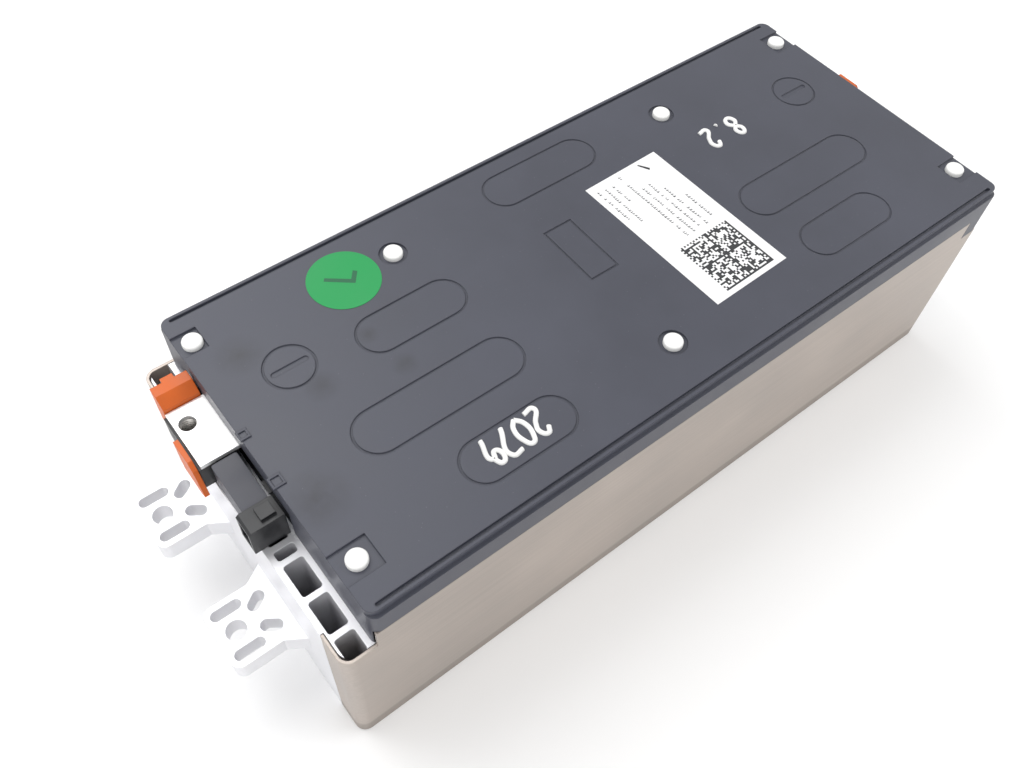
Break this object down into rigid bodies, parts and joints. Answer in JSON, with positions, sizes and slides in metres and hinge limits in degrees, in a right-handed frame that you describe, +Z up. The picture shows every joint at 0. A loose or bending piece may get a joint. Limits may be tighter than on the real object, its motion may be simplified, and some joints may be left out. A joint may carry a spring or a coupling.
{
  "type": "ev battery module",
  "caption": "Long rectangular battery module with moulded top cover, folded side sheets, extruded end plates with bolt ears, and a tapped terminal tab at each end.",
  "frame": {"origin": "centre of the module's bottom face", "axes": "+X along the module away from the low-voltage connector, +Y across it, +Z up"},
  "size_m": [0.412, 0.151, 0.1085],
  "materials": {
    "sheet_steel": "satin",
    "extruded_aluminium": "satin",
    "bottom_aluminium": "satin",
    "spacer_foam": "matt",
    "cell_can": "satin",
    "busbar_aluminium": "bright",
    "orange_plastic": "satin",
    "cover_plastic": "matt",
    "rivet_plastic": "satin",
    "label_film": "matt",
    "sticker_film": "matt",
    "plated_steel": "bright",
    "circuit_film": "satin",
    "black_plastic": "matt"
  },
  "bodies": {
    "root": {"bottom_plate": "bottom_aluminium", "carrier_tray": "black_plastic", "cell_01": "cell_can", "cell_02": "cell_can", "cell_03": "cell_can", "cell_04": "cell_can", "cell_05": "cell_can", "cell_06": "cell_can", "cell_07": "cell_can", "cell_08": "cell_can", "cell_09": "cell_can", "cell_10": "cell_can", "cell_11": "cell_can", "cell_12": "cell_can", "cell_spacer_01": "spacer_foam", "cell_spacer_02": "spacer_foam", "cell_spacer_03": "spacer_foam", "cell_spacer_04": "spacer_foam", "cell_spacer_05": "spacer_foam", "cell_spacer_06": "spacer_foam", "cell_spacer_07": "spacer_foam", "cell_spacer_08": "spacer_foam", "cell_spacer_09": "spacer_foam", "cell_spacer_10": "spacer_foam", "cell_spacer_11": "spacer_foam", "check_sticker": "sticker_film", "connector_housing": "black_plastic", "connector_pins": "plated_steel", "cover_rivets": "rivet_plastic", "end_insulator_front": "black_plastic", "end_insulator_rear": "black_plastic", "end_plate_front": "extruded_aluminium", "end_plate_rear": "extruded_aluminium", "guard_cap_front": "orange_plastic", "guard_cap_rear": "orange_plastic", "guard_lip_front": "orange_plastic", "guard_lip_rear": "orange_plastic", "link_busbar_1": "busbar_aluminium", "link_busbar_2": "busbar_aluminium", "link_busbar_3": "busbar_aluminium", "rating_label": "label_film", "sense_circuit": "circuit_film", "sense_shroud": "black_plastic", "side_sheet_left": "sheet_steel", "side_sheet_right": "sheet_steel", "terminal_busbar_front": "busbar_aluminium", "terminal_busbar_rear": "busbar_aluminium", "terminal_insert_front": "plated_steel", "terminal_insert_rear": "plated_steel", "terminal_seat_front": "black_plastic", "terminal_seat_rear": "black_plastic", "top_cover": "cover_plastic"}
  },
  "joints": []
}
